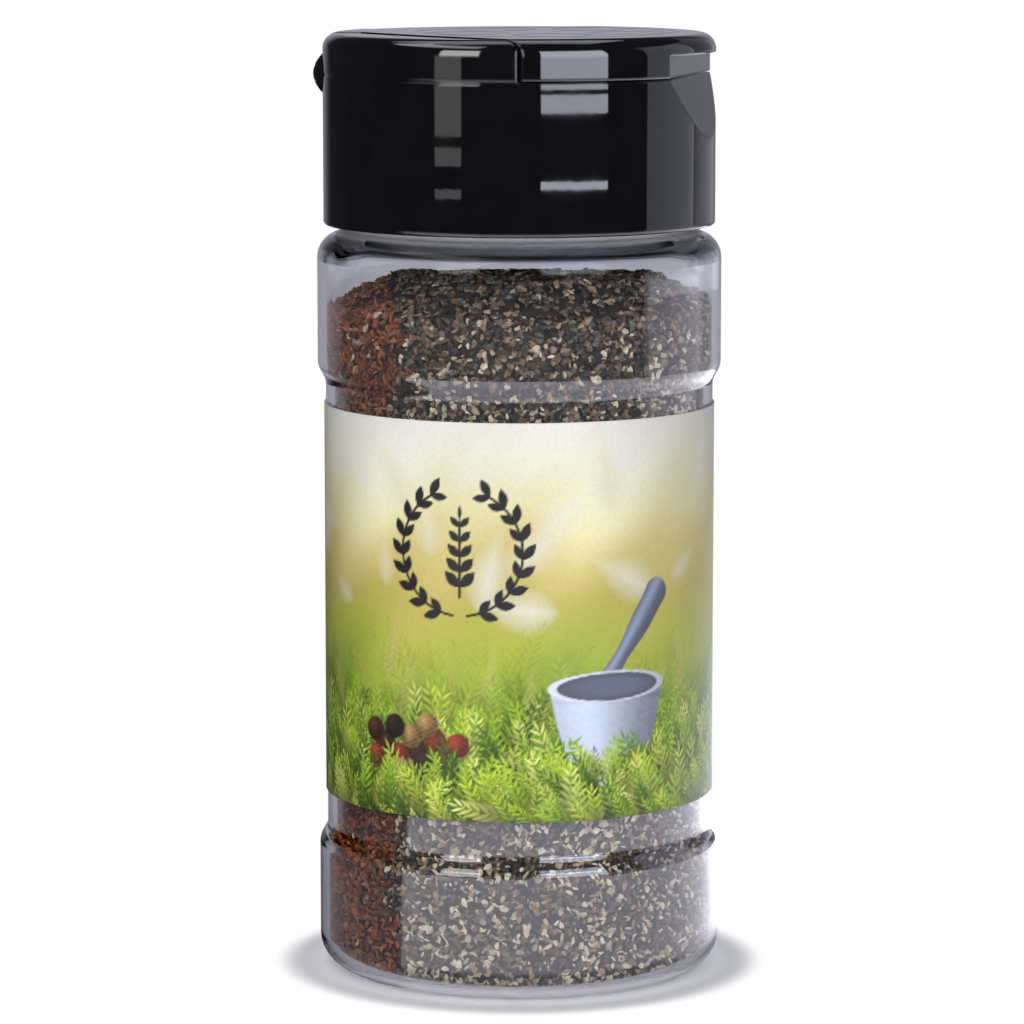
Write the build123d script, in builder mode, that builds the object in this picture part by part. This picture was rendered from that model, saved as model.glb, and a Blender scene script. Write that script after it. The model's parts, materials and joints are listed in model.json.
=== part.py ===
from build123d import *
import os
from math import cos, degrees, pi, radians, sin, sqrt

# A clear plastic spice jar with a wrap label and a flip-top sifter cap.
# Millimetres. +Z is up, the origin is the middle of the standing face, and the label's front looks
# along -Y. Heights are measured from the standing face.

# Jar
jar_radius = 24.0
panel_recess = 0.95
jar_wall = 1.0
base_thickness = 1.2
base_corner = 3.6
base_push_up = 1.6
standing_ring_inner = 16.5
lower_band_top = 15.2
lower_step = 1.7
panel_height = 53.8
upper_step = 1.8
upper_band_height = 16.1
step_round = 2.0
shoulder_slope = 1.0
shoulder_round = 3.0

# Neck and its thread
neck_radius = 20.1
neck_wall = 1.3
neck_height = 15.7
thread_pitch = 25.4 / 6
thread_turns = 1.5
thread_depth = 1.15
thread_root_width = 2.0
thread_crest_width = 1.0
thread_start = 4.6
thread_sink = 0.3

# Label
label_lift = 4.5
label_margin = 2.7
label_thickness = 0.15
label_glue = 0.05
label_overlap = 4.0

# Seasoning
fill_gap = 0.05
fill_headroom = 9.0
fill_heap = 4.0
fill_crown = 0.3
fill_shelf = 15.5

# Cap body
thumb_angle = -15.0
cap_wall = 1.5
cap_side_clearance = 0.5
cap_gap = 0.6
deck_recess = 0.4
deck_thickness = 1.4
bore_clearance = 0.6
bore_depth = 4.2
cap_thread_clearance = 0.4
cap_thread_root_width = 1.8
cap_thread_crest_width = 0.9
thread_play = 0.3
skirt_round = 0.4
witness_depth = 0.08
witness_height = 0.3

# Sifter holes
hole_count = 5
hole_radius = 4.3
hole_circle = 10.0
hole_shift = 3.5

# Thumb scoop
scoop_half_angle = 27.0
scoop_height = 7.3
thumb_wall = 1.2

# Fixed cheeks beside the hinge
seam_angle = 75.0
seam_bow = 1.0
tab_half_width = 5.2
tab_length = 3.7
cheek_drop = 0.1
cheek_round = 1.7
cheek_tip_round = 0.15

# Flap
flap_height = 4.9
parting_gap = 0.15
plate_thickness = 1.3
flap_wall = 1.2
flap_round = 1.9
lip_height = 2.2
seam_gap = 0.35
seam_gap_at_hinge = 1.0
seal_ring_margin = 0.3
seal_ring_wall = 0.9
seal_gap = 0.15
plug_clearance = 0.2
plug_wall = 0.8
plug_reach = 0.8
plug_chamfer = 0.25

# Living hinge
hinge_half_width = 4.8
hinge_leg = 2.4
hinge_bulge = 1.3
hinge_thickness = 0.4
hinge_gap = 0.05

# Seal liner
liner_thickness = 0.8
liner_overhang = 0.4
liner_side_gap = 0.1

# Heights and radii that follow from the sizes above
panel_radius = jar_radius - panel_recess
panel_bottom = lower_band_top + lower_step
panel_top = panel_bottom + panel_height
upper_band_bottom = panel_top + upper_step
shoulder_top = upper_band_bottom + upper_band_height
shoulder_rim = shoulder_top - shoulder_slope
neck_top = shoulder_top + neck_height
neck_bore = neck_radius - neck_wall
neck_crest = neck_radius + thread_depth
deck_bottom = neck_top + liner_thickness
deck_top = deck_bottom + deck_thickness
parting = deck_top + deck_recess
cap_bottom = shoulder_top + cap_gap
cap_top = parting + flap_height
cap_bore = neck_radius + bore_clearance
cap_inside = neck_crest + cap_side_clearance
cap_radius = cap_inside + cap_wall
cap_crest = neck_radius + cap_thread_clearance
flap_bottom = parting + parting_gap
plate_bottom = cap_top - plate_thickness
seal_ring_bore = hole_circle + hole_radius + seal_ring_margin
seal_ring_radius = seal_ring_bore + seal_ring_wall
thumb_chord = cap_radius * cos(radians(scoop_half_angle))

# The cap is turned on the jar: its own +X points at the thumb scoop
cap_frame = Plane.XY.rotated((0, 0, thumb_angle))
cap_side = Plane(cap_frame.origin, x_dir=cap_frame.x_dir, z_dir=-cap_frame.y_dir)


def corner(section, x, y):
    """The corner of a section that lies nearest to a point."""
    return section.vertices().sort_by_distance((x, y))[0]


def jar_section(inset, rise, top_points):
    """Half section of the jar's outside, or of a surface inset from it, closed by top_points."""
    wall = jar_radius - inset
    waist = panel_radius - inset
    dome = (standing_ring_inner**2 + base_push_up**2) / (2 * base_push_up)
    half = standing_ring_inner / 2
    crown = base_push_up + rise
    with BuildSketch(Plane.XZ) as section:
        with BuildLine():
            Polyline(
                (standing_ring_inner, rise),
                (wall, rise),
                (wall, lower_band_top),
                (waist, panel_bottom),
                (waist, panel_top),
                (wall, upper_band_bottom),
                *top_points,
                (0, crown),
            )
            ThreePointArc(
                (0, crown),
                (half, crown - dome + sqrt(dome**2 - half**2)),
                (standing_ring_inner, rise),
            )
        make_face()
        fillet(corner(section, wall, rise), base_corner - inset)
        fillet(corner(section, wall, lower_band_top), step_round)
        fillet(corner(section, waist, panel_bottom), step_round)
        fillet(corner(section, waist, panel_top), step_round)
        fillet(corner(section, wall, upper_band_bottom), step_round)
        if inset < jar_wall + fill_gap:
            ledge = wall - top_points[1][0]
            top_round = min(shoulder_round - inset, 0.9 * ledge)
            fillet(corner(section, wall, top_points[0][1]), top_round)
    return section.sketch


def thread_ridge(root, crest, root_width, crest_width, start):
    """A right-hand ridge of trapezoid section, from its root radius to its crest radius."""
    side = 1 if crest > root else -1
    depth = abs(crest - root)
    with BuildPart() as ridge:
        with BuildLine() as path:
            Helix(thread_pitch, thread_turns * thread_pitch, root, center=(0, 0, start))
        with BuildSketch(Plane(path.line @ 0, x_dir=(1, 0, 0), z_dir=path.line % 0)):
            with BuildLine():
                Polyline(
                    (-side * thread_sink, -root_width / 2),
                    (side * depth, -crest_width / 2),
                    (side * depth, crest_width / 2),
                    (-side * thread_sink, root_width / 2),
                    close=True,
                )
            make_face()
        sweep(path=path.line, is_frenet=True)
    return ridge.part


def seam_points(gap, extra):
    """One seam beside a cheek: its rim end, its bowed middle, its tab end and the tab's rim."""
    angle = radians(seam_angle) - gap / cap_radius
    side = tab_half_width - gap
    rim_end = Vector(cap_radius * cos(angle), cap_radius * sin(angle))
    tab_rim = Vector(-sqrt(cap_radius**2 - side**2), side)
    tab_end = tab_rim + Vector(tab_length + extra, 0)
    chord = tab_end - rim_end
    outward = Vector(chord.Y, -chord.X).normalized()
    middle = (rim_end + tab_end) / 2 + outward * seam_bow
    return rim_end, middle, tab_end, tab_rim


def mirrored(point):
    """A point of the plan, on the other side of the cap's own X axis."""
    return Vector(point.X, -point.Y)


def cheek_plan(height):
    """Plan of the two fixed cheeks, between the rim and their seams."""
    rim_end, middle, tab_end, tab_rim = seam_points(0, 0)
    rim_angle = (radians(seam_angle) + pi - tab_half_width / cap_radius) / 2
    rim_middle = Vector(cap_radius * cos(rim_angle), cap_radius * sin(rim_angle))
    with BuildSketch(cap_frame.offset(height)) as plan:
        with BuildLine():
            ThreePointArc(rim_end, middle, tab_end)
            Line(tab_end, tab_rim)
            ThreePointArc(tab_rim, rim_middle, rim_end)
        make_face()
        fillet(corner(plan, rim_end.X, rim_end.Y), cheek_tip_round)
        mirror(about=Plane.XZ)
    return plan.sketch


def flap_plan(height, inset):
    """Plan of the flap between the seams, with its rim moved inwards by inset."""
    rim_end, middle, tab_end, tab_rim = seam_points(seam_gap, seam_gap_at_hinge)
    with BuildSketch(cap_frame.offset(height)) as plan:
        with BuildLine():
            ThreePointArc(rim_end, (cap_radius, 0), mirrored(rim_end))
            ThreePointArc(mirrored(rim_end), mirrored(middle), mirrored(tab_end))
            Line(mirrored(tab_end), mirrored(tab_rim))
            ThreePointArc(mirrored(tab_rim), (-cap_radius, 0), tab_rim)
            Line(tab_rim, tab_end)
            ThreePointArc(tab_end, middle, rim_end)
        make_face()
        if inset > 0:
            Circle(cap_radius - inset, mode=Mode.SUBTRACT)
    return plan.sketch


def hole_discs(radius, height):
    """One disc over each sifter hole, on a circle that is moved towards the thumb scoop."""
    with BuildSketch(cap_frame.offset(height)) as discs:
        with Locations((hole_shift, 0)):
            with PolarLocations(hole_circle, hole_count):
                Circle(radius)
    return discs.sketch


def rim_corner(height, round_radius, upwards):
    """The ring that is cut away to round the cap's rim at a height, on its top or its bottom."""
    align = Align.MIN if upwards else Align.MAX
    middle = height - round_radius if upwards else height + round_radius
    with BuildPart() as ring:
        with BuildSketch(Plane.XZ):
            with Locations((cap_radius - round_radius, middle)):
                Rectangle(2 * round_radius, 2 * round_radius, align=(Align.MIN, align))
                Circle(round_radius, mode=Mode.SUBTRACT)
        revolve(axis=Axis.Z)
    return ring.part


os.makedirs("parts", exist_ok=True)

# Jar: a blown shell with a pushed-up base, a recessed label panel and a threaded neck
jar_outside = jar_section(
    0,
    0,
    [(jar_radius, shoulder_rim), (neck_radius, shoulder_top), (neck_radius, neck_top), (0, neck_top)],
)
jar_inside = jar_section(
    jar_wall,
    base_thickness,
    [
        (jar_radius - jar_wall, shoulder_rim - jar_wall),
        (neck_bore, shoulder_top - jar_wall),
        (neck_bore, neck_top),
        (0, neck_top),
    ],
)
neck_ridge = thread_ridge(
    neck_radius,
    neck_crest,
    thread_root_width,
    thread_crest_width,
    shoulder_top + thread_start,
)
with BuildPart() as jar:
    revolve(jar_outside, axis=Axis.Z)
    revolve(jar_inside, axis=Axis.Z, mode=Mode.SUBTRACT)
    add(neck_ridge)
jar.part.label = "jar"
export_step(jar.part, "parts/jar.step")

# Label: a paper wrap in the recessed panel, with its ends lapped at the back
label_bottom = panel_bottom + label_lift
label_height = panel_height - label_lift - label_margin
label_inside = panel_radius + label_glue
label_outside = label_inside + label_thickness
lap_angle = degrees(label_overlap / label_outside)
lap_plane = Plane.XZ.rotated((0, 0, 90 - lap_angle / 2))
with BuildPart() as label:
    with BuildSketch(Plane.XY.offset(label_bottom)):
        Circle(label_outside)
        Circle(label_inside, mode=Mode.SUBTRACT)
    extrude(amount=label_height)
    with BuildSketch(lap_plane):
        with Locations((label_outside, label_bottom)):
            Rectangle(label_thickness, label_height, align=(Align.MIN, Align.MIN))
    revolve(axis=Axis.Z, revolution_arc=lap_angle)
label.part.label = "label"
export_step(label.part, "parts/label.step")

# Seasoning: the loose fill against the jar's inner wall, heaped under the neck it was poured through
fill_inset = jar_wall + fill_gap
fill_edge = shoulder_top - fill_headroom
heap_top = fill_edge + fill_heap
fill_shape = jar_section(
    fill_inset,
    base_thickness + fill_gap,
    [(jar_radius - fill_inset, fill_edge), (fill_shelf, heap_top), (0, heap_top + fill_crown)],
)
with BuildPart() as seasoning:
    revolve(fill_shape, axis=Axis.Z)
seasoning.part.label = "seasoning"
export_step(seasoning.part, "parts/seasoning.step")

# Seal liner: a soft ring that the deck presses on the jar's rim
with BuildPart() as seal_liner:
    with BuildSketch(Plane.XY.offset(neck_top)):
        Circle(cap_bore - liner_side_gap)
        Circle(neck_bore - liner_overhang, mode=Mode.SUBTRACT)
    extrude(amount=liner_thickness)
seal_liner.part.label = "seal_liner"
export_step(seal_liner.part, "parts/seal_liner.step")

# Cap body: a threaded skirt, a deck with sifter holes, a thumb scoop and two fixed cheeks
cheeks = cheek_plan(deck_top)
holes = hole_discs(hole_radius, deck_top)
crest_height = deck_bottom - bore_depth
flank_at_crest = thread_root_width - (
    (thread_root_width - thread_crest_width) * cap_thread_clearance / thread_depth
)
thread_drop = (flank_at_crest + cap_thread_crest_width) / 2 + thread_play
cap_ridge = thread_ridge(
    cap_inside,
    cap_crest,
    cap_thread_root_width,
    cap_thread_crest_width,
    shoulder_top + thread_start - thread_drop,
)
cheek_corner = rim_corner(cap_top - cheek_drop, cheek_round, True)
skirt_corner = rim_corner(cap_bottom, skirt_round, False)
with BuildPart() as cap_body:
    with BuildSketch(cap_frame.offset(cap_bottom)):
        Circle(cap_radius)
    extrude(amount=parting - cap_bottom)
    with BuildSketch(cap_frame.offset(parting)):
        Circle(cap_inside)
        with Locations((thumb_chord - thumb_wall, 0)):
            Rectangle(cap_radius, 2 * cap_radius, align=(Align.MIN, Align.CENTER), mode=Mode.SUBTRACT)
    extrude(amount=-deck_recess, mode=Mode.SUBTRACT)
    extrude(cheeks, amount=cap_top - cheek_drop - deck_top)
    with BuildSketch(cap_frame.offset(cap_bottom)):
        Circle(cap_inside)
    extrude(amount=crest_height - cap_bottom, mode=Mode.SUBTRACT)
    with BuildSketch(cap_frame.offset(crest_height)):
        Circle(cap_bore)
    extrude(amount=bore_depth, mode=Mode.SUBTRACT)
    extrude(holes, amount=-deck_thickness, mode=Mode.SUBTRACT)
    with BuildSketch(cap_side):
        with BuildLine():
            Polyline(
                (thumb_chord, parting),
                (cap_radius, parting - scoop_height),
                (cap_radius + cap_wall, parting - scoop_height),
                (cap_radius + cap_wall, parting),
                close=True,
            )
        make_face()
    extrude(amount=cap_radius, both=True, mode=Mode.SUBTRACT)
    add(cheek_corner, mode=Mode.SUBTRACT)
    add(skirt_corner, mode=Mode.SUBTRACT)
    with BuildSketch(cap_side):
        with Locations((cap_radius - witness_depth, parting)):
            Rectangle(cap_wall, witness_height, align=(Align.MIN, Align.CENTER))
    revolve(axis=Axis.Z, mode=Mode.SUBTRACT)
    add(cap_ridge)
cap_body.part.label = "cap_body"
export_step(cap_body.part, "parts/cap_body.step")

# Flap: a lid plate with a rim wall, a finger lip, a seal ring and a hollow plug for each hole
flap_disc = flap_plan(plate_bottom, 0)
flap_rim = flap_plan(flap_bottom, flap_wall)
plugs = hole_discs(hole_radius - plug_clearance, deck_top - plug_reach)
plug_bores = hole_discs(hole_radius - plug_clearance - plug_wall, deck_top - plug_reach)
rim_height = plate_bottom - flap_bottom
plug_length = plate_bottom - deck_top + plug_reach
flap_corner = rim_corner(cap_top, flap_round, True)
with BuildPart() as flap:
    extrude(flap_disc, amount=plate_thickness)
    extrude(flap_rim, amount=rim_height)
    with BuildSketch(cap_frame.offset(flap_bottom)):
        Circle(cap_radius)
        with Locations((thumb_chord - thumb_wall, 0)):
            Rectangle(
                cap_radius, 2 * cap_radius, align=(Align.MIN, Align.CENTER), mode=Mode.INTERSECT
            )
    extrude(amount=rim_height)
    with BuildSketch(cap_frame.offset(flap_bottom)):
        with Locations((thumb_chord, 0)):
            Rectangle(cap_radius, 2 * cap_radius, align=(Align.MIN, Align.CENTER))
    extrude(amount=cap_top - lip_height - flap_bottom, mode=Mode.SUBTRACT)
    with BuildSketch(cap_frame.offset(deck_top + seal_gap)):
        with Locations((hole_shift, 0)):
            Circle(seal_ring_radius)
            Circle(seal_ring_bore, mode=Mode.SUBTRACT)
    extrude(amount=plate_bottom - deck_top - seal_gap)
    extrude(plugs, amount=plug_length)
    extrude(plug_bores, amount=plug_length, mode=Mode.SUBTRACT)
    plug_ends = flap.edges().group_by(Axis.Z)[0]
    plug_rims = plug_ends.filter_by(lambda edge: edge.radius > hole_radius - plug_clearance - plug_wall / 2)
    chamfer(plug_rims, plug_chamfer)
    add(flap_corner, mode=Mode.SUBTRACT)
flap.part.label = "flap"
export_step(flap.part, "parts/flap.step")

# Living hinge: the thin strap that joins the flap to the cap and bows outwards when it is shut
hinge_half_angle = degrees(hinge_half_width / cap_radius)
hinge_inside = cap_radius + hinge_gap
hinge_plane = Plane.XZ.rotated((0, 0, 180 + thumb_angle - hinge_half_angle))
with BuildPart() as living_hinge:
    with BuildSketch(hinge_plane):
        with BuildLine():
            ThreePointArc(
                (hinge_inside, parting - hinge_leg),
                (cap_radius + hinge_bulge, parting),
                (hinge_inside, parting + hinge_leg),
            )
            Line((hinge_inside, parting + hinge_leg), (hinge_inside, parting + hinge_leg - hinge_thickness))
            ThreePointArc(
                (hinge_inside, parting + hinge_leg - hinge_thickness),
                (cap_radius + hinge_bulge - hinge_thickness, parting),
                (hinge_inside, parting - hinge_leg + hinge_thickness),
            )
            Line((hinge_inside, parting - hinge_leg + hinge_thickness), (hinge_inside, parting - hinge_leg))
        make_face()
    revolve(axis=Axis.Z, revolution_arc=2 * hinge_half_angle)
living_hinge.part.label = "living_hinge"
export_step(living_hinge.part, "parts/living_hinge.step")
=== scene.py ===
"""Looks of a clear plastic spice jar with a wrap label and a black flip-top sifter cap."""

import json
import math

import bpy
import numpy as np
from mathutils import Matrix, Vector


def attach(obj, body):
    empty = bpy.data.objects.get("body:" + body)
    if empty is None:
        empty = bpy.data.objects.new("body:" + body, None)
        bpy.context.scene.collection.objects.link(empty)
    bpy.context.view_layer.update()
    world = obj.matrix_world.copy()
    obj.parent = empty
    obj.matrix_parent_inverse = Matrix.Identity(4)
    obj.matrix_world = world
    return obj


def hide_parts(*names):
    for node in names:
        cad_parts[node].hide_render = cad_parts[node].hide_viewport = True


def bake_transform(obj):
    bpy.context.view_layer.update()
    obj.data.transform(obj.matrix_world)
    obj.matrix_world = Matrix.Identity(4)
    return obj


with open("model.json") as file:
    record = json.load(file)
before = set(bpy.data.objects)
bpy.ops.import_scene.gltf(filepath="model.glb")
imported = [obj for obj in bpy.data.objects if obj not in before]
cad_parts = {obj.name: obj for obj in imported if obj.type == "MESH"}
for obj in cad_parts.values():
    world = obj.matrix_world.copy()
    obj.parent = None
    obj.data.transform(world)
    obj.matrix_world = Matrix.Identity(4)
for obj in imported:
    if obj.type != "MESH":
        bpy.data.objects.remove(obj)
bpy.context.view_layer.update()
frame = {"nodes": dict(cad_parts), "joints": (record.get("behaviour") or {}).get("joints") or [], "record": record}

MM = 0.001
rng = np.random.default_rng(7)

# Sizes of the jar in millimetres, as in the part's source
JAR_RADIUS = 24.0
PANEL_RADIUS = 23.05
JAR_WALL = 1.0
BASE_THICKNESS = 1.2
BASE_CORNER = 3.6
PUSH_UP = 1.6
STANDING_RING = 16.5
LOWER_BAND_TOP = 15.2
PANEL_BOTTOM = 16.9
PANEL_TOP = 70.7
UPPER_BAND_BOTTOM = 72.5
SHOULDER_TOP = 88.6
SHOULDER_RIM = 87.6
STEP_ROUND = 2.0
SHOULDER_ROUND = 3.0
NECK_RADIUS = 20.1
NECK_BORE = 18.8
NECK_TOP = 104.3
LIP_ROUND = 0.4
NECK_FOOT_ROUND = 0.5
BORE_FOOT_ROUND = 0.6
THREAD_PITCH = 25.4 / 6
THREAD_TURNS = 1.5
THREAD_START = 93.2
THREAD_DEPTH = 1.1
FILL_RADII = (0, 15.5, 22.95)
FILL_HEIGHTS = (83.9, 83.6, 79.6)
LABEL_OUTSIDE = 23.25
LABEL_INSIDE = 23.1
LABEL_BOTTOM = 21.4
LABEL_HEIGHT = 46.6

# How far past each arc's ends an outline has one point more, in millimetres
HOLD = 0.12

# The sink marks on the flap's top, over the plug rings and the seal ring under it, in millimetres
PLUG_RING_RADIUS = 4.5
SEAL_RING_RADIUS = 15.2
MARK_HALF_WIDTH = 0.8
MARK_DEPTH = 0.15

# The hinge strap in millimetres, with its grooves' place and width as shares of a leg
HINGE_JOINT = next(j for j in frame["joints"] if j["name"] == "flap_open")
HINGE_POINT = Vector(HINGE_JOINT["pos_m"]) / MM
HINGE_ANGLE = math.atan2(HINGE_POINT.y, HINGE_POINT.x)
CAP_RADIUS = 23.25
PARTING = HINGE_POINT.z
HINGE_HALF_WIDTH = 4.8
HINGE_LEG = 2.4
HINGE_BULGE = 1.3
HINGE_THICKNESS = 0.4
HINGE_GAP = 0.05
HINGE_TAPER = 0.12
GROOVE_DEPTH = 0.05
GROOVE_PLACE = 0.36
GROOVE_WIDTH = 0.07

# Camera, fitted to the photograph's outline
CAMERA_DISTANCE = 0.571
CAMERA_PITCH = math.radians(7.9)
PIXELS_PER_MM = 8.35
PICTURE_SIZE = 1024
LOOK_AT = Vector((-0.86, 0.0, 54.55)) * MM

# Brightness of the studio as the clear jar shows it, behind the object and elsewhere
SEEN_THROUGH = 0.52
SEEN_DARK = 0.12
STUDIO_TINT = (0.88, 0.88, 1.0)


def srgb(*channels):
    """A screen colour, from 0 to 255 a channel, as a linear one."""
    values = [c / 255 for c in channels]
    return [v / 12.92 if v <= 0.04045 else ((v + 0.055) / 1.055) ** 2.4 for v in values]


def link(obj):
    bpy.context.scene.collection.objects.link(obj)
    return obj


def mesh_object(name, points, faces, smooth=True):
    """A mesh from points in millimetres."""
    mesh = bpy.data.meshes.new(name)
    mesh.from_pydata((np.asarray(points, float) * MM).tolist(), [], faces)
    mesh.update()
    mesh.polygons.foreach_set("use_smooth", [smooth] * len(mesh.polygons))
    return link(bpy.data.objects.new(name, mesh))


def grid_faces(rows, columns):
    """Quads between the rows of a grid of points, closed round the columns."""
    faces = []
    for i in range(rows - 1):
        for j in range(columns):
            k = (j + 1) % columns
            faces.append((i * columns + j, i * columns + k, (i + 1) * columns + k, (i + 1) * columns + j))
    return faces


def around(radius, angle, z):
    """Points at a radius, an angle and a height round the jar's axis."""
    return np.stack(np.broadcast_arrays(radius * np.cos(angle), radius * np.sin(angle), z), axis=-1)


def rounded(corners, steps=8):
    """An open outline through corners given as x, y and radius, with an arc in each inner one.

    It has a point just beyond each arc's ends, so that smooth shading leaves the straights flat.
    """
    outline = [np.array(corners[0][:2], float)]
    for before, (*corner, radius), after in zip(corners, corners[1:], corners[2:]):
        here = np.array(corner, float)
        a = np.array(before[:2], float) - here
        b = np.array(after[:2], float) - here
        a /= np.linalg.norm(a)
        b /= np.linalg.norm(b)
        half = math.acos(np.clip(a @ b, -1, 1)) / 2
        if radius <= 0 or half > math.pi / 2 - 0.01:
            outline.append(here)
            continue
        reach = radius / math.tan(half)
        middle = here + (a + b) / np.linalg.norm(a + b) * radius / math.sin(half)
        start = here + a * reach - middle
        end = here + b * reach - middle
        turn = math.pi - 2 * half
        outline.append(middle + start + a * HOLD)
        for k in range(steps + 1):
            t = k / steps
            arc = (math.sin((1 - t) * turn) * start + math.sin(t * turn) * end) / math.sin(turn)
            outline.append(middle + arc)
        outline.append(middle + end + b * HOLD)
    outline.append(np.array(corners[-1][:2], float))
    return outline


def divided(outline, low, high, step):
    """The outline with its stretches between two heights divided into short ones."""
    result = [outline[0]]
    for a, b in zip(outline, outline[1:]):
        count = 1
        if low <= min(a[1], b[1]) and max(a[1], b[1]) <= high:
            count = max(1, round(np.linalg.norm(b - a) / step))
        for k in range(1, count + 1):
            result.append(a + (b - a) * k / count)
    return result


def dome(rise, steps=10):
    """The pushed-up base from its crown out to the standing ring."""
    radius = (STANDING_RING**2 + PUSH_UP**2) / (2 * PUSH_UP)
    outline = []
    for k in range(steps + 1):
        r = STANDING_RING * k / steps
        outline.append(np.array((r, rise + PUSH_UP - radius + math.sqrt(radius**2 - r**2))))
    return outline


def inner_radius(z):
    """The radius of the jar's inner wall at a height above the base's corner."""
    heights = (LOWER_BAND_TOP, PANEL_BOTTOM, PANEL_TOP, UPPER_BAND_BOTTOM)
    radii = (JAR_RADIUS, PANEL_RADIUS, PANEL_RADIUS, JAR_RADIUS)
    wall = np.interp(z, heights, radii) - JAR_WALL
    corner = BASE_CORNER - JAR_WALL
    depth = np.clip(BASE_THICKNESS + corner - z, 0, corner)
    return wall - corner + np.sqrt(np.maximum(corner**2 - depth**2, 0))


# Materials


def with_inputs(shader_node, inputs):
    """The node with values set on its inputs by name."""
    for name, value in inputs.items():
        shader_node.inputs[name.replace("_", " ")].default_value = value
    return shader_node


def node(tree, kind, **inputs):
    return with_inputs(tree.nodes.new(kind), inputs)


def new_material(name, **inputs):
    """A material, its node tree and its shader."""
    material = bpy.data.materials.new(name)
    material.use_nodes = True
    tree = material.node_tree
    return material, tree, with_inputs(tree.nodes["Principled BSDF"], inputs)


def noise_texture(tree, scale, detail, roughness=0.55, stretch=(1, 1, 1)):
    """Noise in object space; scale is in features per metre."""
    place = tree.nodes.new("ShaderNodeTexCoord")
    mapping = tree.nodes.new("ShaderNodeMapping")
    mapping.inputs["Scale"].default_value = stretch
    texture = node(tree, "ShaderNodeTexNoise", Scale=scale, Detail=detail, Roughness=roughness)
    tree.links.new(place.outputs["Object"], mapping.inputs["Vector"])
    tree.links.new(mapping.outputs["Vector"], texture.inputs["Vector"])
    return texture.outputs["Fac"]


def ramp(source, stops):
    """A colour ramp on a source socket. Each stop is a place and a linear colour."""
    tree = source.id_data
    made = tree.nodes.new("ShaderNodeValToRGB")
    elements = made.color_ramp.elements
    while len(elements) < len(stops):
        elements.new(0.5)
    for element, (place, colour) in zip(elements, stops):
        element.position = place
        element.color = (*colour, 1)
    tree.links.new(source, made.inputs["Fac"])
    return made.outputs["Color"]


def ranged(source, low, high):
    """A 0 to 1 value mapped to a range."""
    tree = source.id_data
    made = node(tree, "ShaderNodeMapRange", To_Min=low, To_Max=high)
    tree.links.new(source, made.inputs["Value"])
    return made.outputs["Result"]


def bump(tree, shader, height, strength, distance):
    made = node(tree, "ShaderNodeBump", Strength=strength, Distance=distance)
    tree.links.new(height, made.inputs["Height"])
    tree.links.new(made.outputs["Normal"], shader.inputs["Normal"])
    return made


def calculated(operation, *values):
    """The output of a math node. Each value is a number or a socket, and one is a socket."""
    tree = next(v.id_data for v in values if isinstance(v, bpy.types.NodeSocket))
    made = tree.nodes.new("ShaderNodeMath")
    made.operation = operation
    for socket, value in zip(made.inputs, values):
        if isinstance(value, bpy.types.NodeSocket):
            tree.links.new(value, socket)
        else:
            socket.default_value = value
    return made.outputs["Value"]


def times(a, b, plus=None):
    """a times b, and what is to be added to it."""
    if plus is None:
        return calculated("MULTIPLY", a, b)
    return calculated("MULTIPLY_ADD", a, b, plus)


def stepped(value, low, high):
    """0 below low, 1 above high and smooth between, or the other way round if low is above high."""
    tree = value.id_data
    made = node(tree, "ShaderNodeMapRange", From_Min=min(low, high), From_Max=max(low, high))
    made.interpolation_type = "SMOOTHSTEP"
    if low > high:
        made.inputs["To Min"].default_value = 1.0
        made.inputs["To Max"].default_value = 0.0
    tree.links.new(value, made.inputs["Value"])
    return made.outputs["Result"]


def coordinates(tree, space="Object"):
    """The three coordinates of the shaded point."""
    place = tree.nodes.new("ShaderNodeTexCoord")
    parts = tree.nodes.new("ShaderNodeSeparateXYZ")
    tree.links.new(place.outputs[space], parts.inputs[0])
    return list(parts.outputs)


def mixed_surface(tree, share, first, second):
    """Gives the material two shaders, the second by its share."""
    mix = tree.nodes.new("ShaderNodeMixShader")
    tree.links.new(share, mix.inputs["Fac"])
    tree.links.new(first, mix.inputs[1])
    tree.links.new(second, mix.inputs[2])
    tree.links.new(mix.outputs["Shader"], tree.nodes["Material Output"].inputs["Surface"])


def ring_marks(tree, circles):
    """Height, from -1 to 0, of the sink marks over the ribs under the flap. Circles are in mm."""
    place = tree.nodes.new("ShaderNodeTexCoord")
    flat = tree.nodes.new("ShaderNodeVectorMath")
    flat.operation = "MULTIPLY"
    flat.inputs[1].default_value = (1, 1, 0)
    tree.links.new(place.outputs["Object"], flat.inputs[0])
    total = 0.0
    for x, y, radius in circles:
        far = tree.nodes.new("ShaderNodeVectorMath")
        far.operation = "DISTANCE"
        far.inputs[1].default_value = (x * MM, y * MM, 0)
        tree.links.new(flat.outputs["Vector"], far.inputs[0])
        off = calculated("SUBTRACT", far.outputs["Value"], radius * MM)
        near = node(tree, "ShaderNodeMapRange", From_Max=MARK_HALF_WIDTH * MM, To_Min=-1.0, To_Max=0.0)
        near.interpolation_type = "SMOOTHSTEP"
        tree.links.new(calculated("ABSOLUTE", off), near.inputs["Value"])
        total = calculated("ADD", near.outputs["Result"], total)
    return total


def hole_circles():
    """The plug rings and the seal ring under the flap, from the record's sifter holes."""
    boxes = [o["box_m"] for o in frame["record"]["physics"]["openings"] if "sifter" in o["name"]]
    middles = [((low[0] + high[0]) / 2 / MM, (low[1] + high[1]) / 2 / MM) for low, high in boxes]
    centre = np.mean(middles, axis=0)
    return [(x, y, PLUG_RING_RADIUS) for x, y in middles] + [(*centre, SEAL_RING_RADIUS)]


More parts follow.
